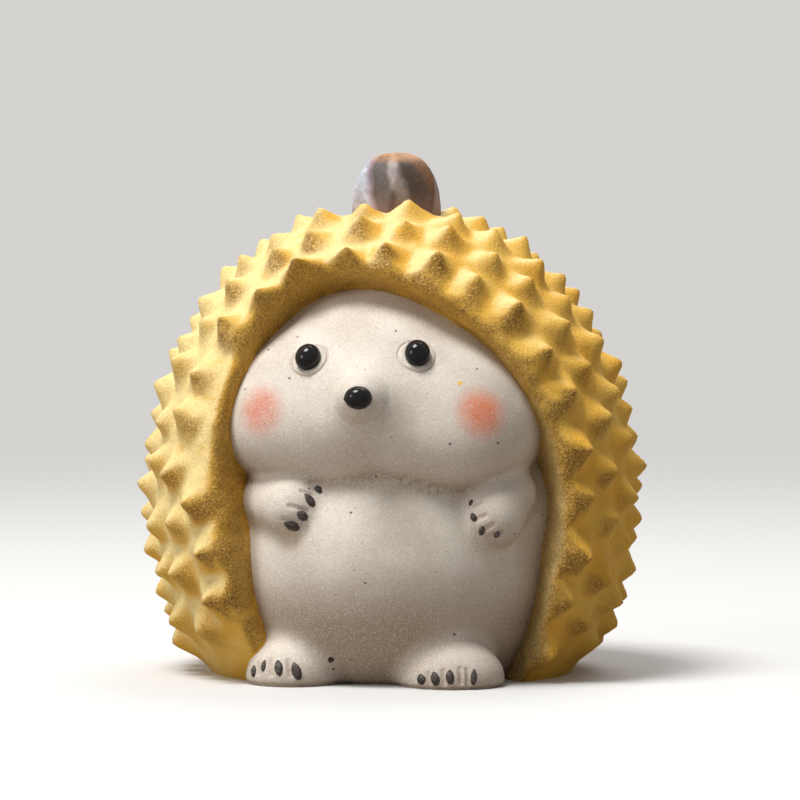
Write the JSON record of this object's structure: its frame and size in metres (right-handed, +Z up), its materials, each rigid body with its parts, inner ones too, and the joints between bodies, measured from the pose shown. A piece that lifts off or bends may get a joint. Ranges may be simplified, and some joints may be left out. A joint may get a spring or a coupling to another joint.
{
  "type": "hedgehog figurine",
  "caption": "Small stoneware hedgehog ornament that sits upright in a yellow spiny husk coat with a short glazed stem on its crown.",
  "frame": {"origin": "middle of the torso's flat resting face", "axes": "+Z up, the hedgehog looks along -Y, and its right side is at -X"},
  "size_m": [0.059, 0.056, 0.06],
  "materials": {
    "body_clay": "matt speckled stoneware",
    "coat_slip": "matt sandy yellow slip",
    "stem_glaze": "streaked satin glaze",
    "black_glaze": "gloss black glaze",
    "claw_slip": "matt dark slip"
  },
  "bodies": {
    "root": {"torso": "body_clay", "head": "body_clay", "right_arm": "body_clay", "left_arm": "body_clay", "right_foot": "body_clay", "left_foot": "body_clay", "spiny_coat": "coat_slip", "stem": "stem_glaze", "right_eye": "black_glaze", "left_eye": "black_glaze", "nose": "black_glaze", "right_hand_claws": "claw_slip", "left_hand_claws": "claw_slip", "right_foot_claws": "claw_slip", "left_foot_claws": "claw_slip"}
  },
  "joints": []
}
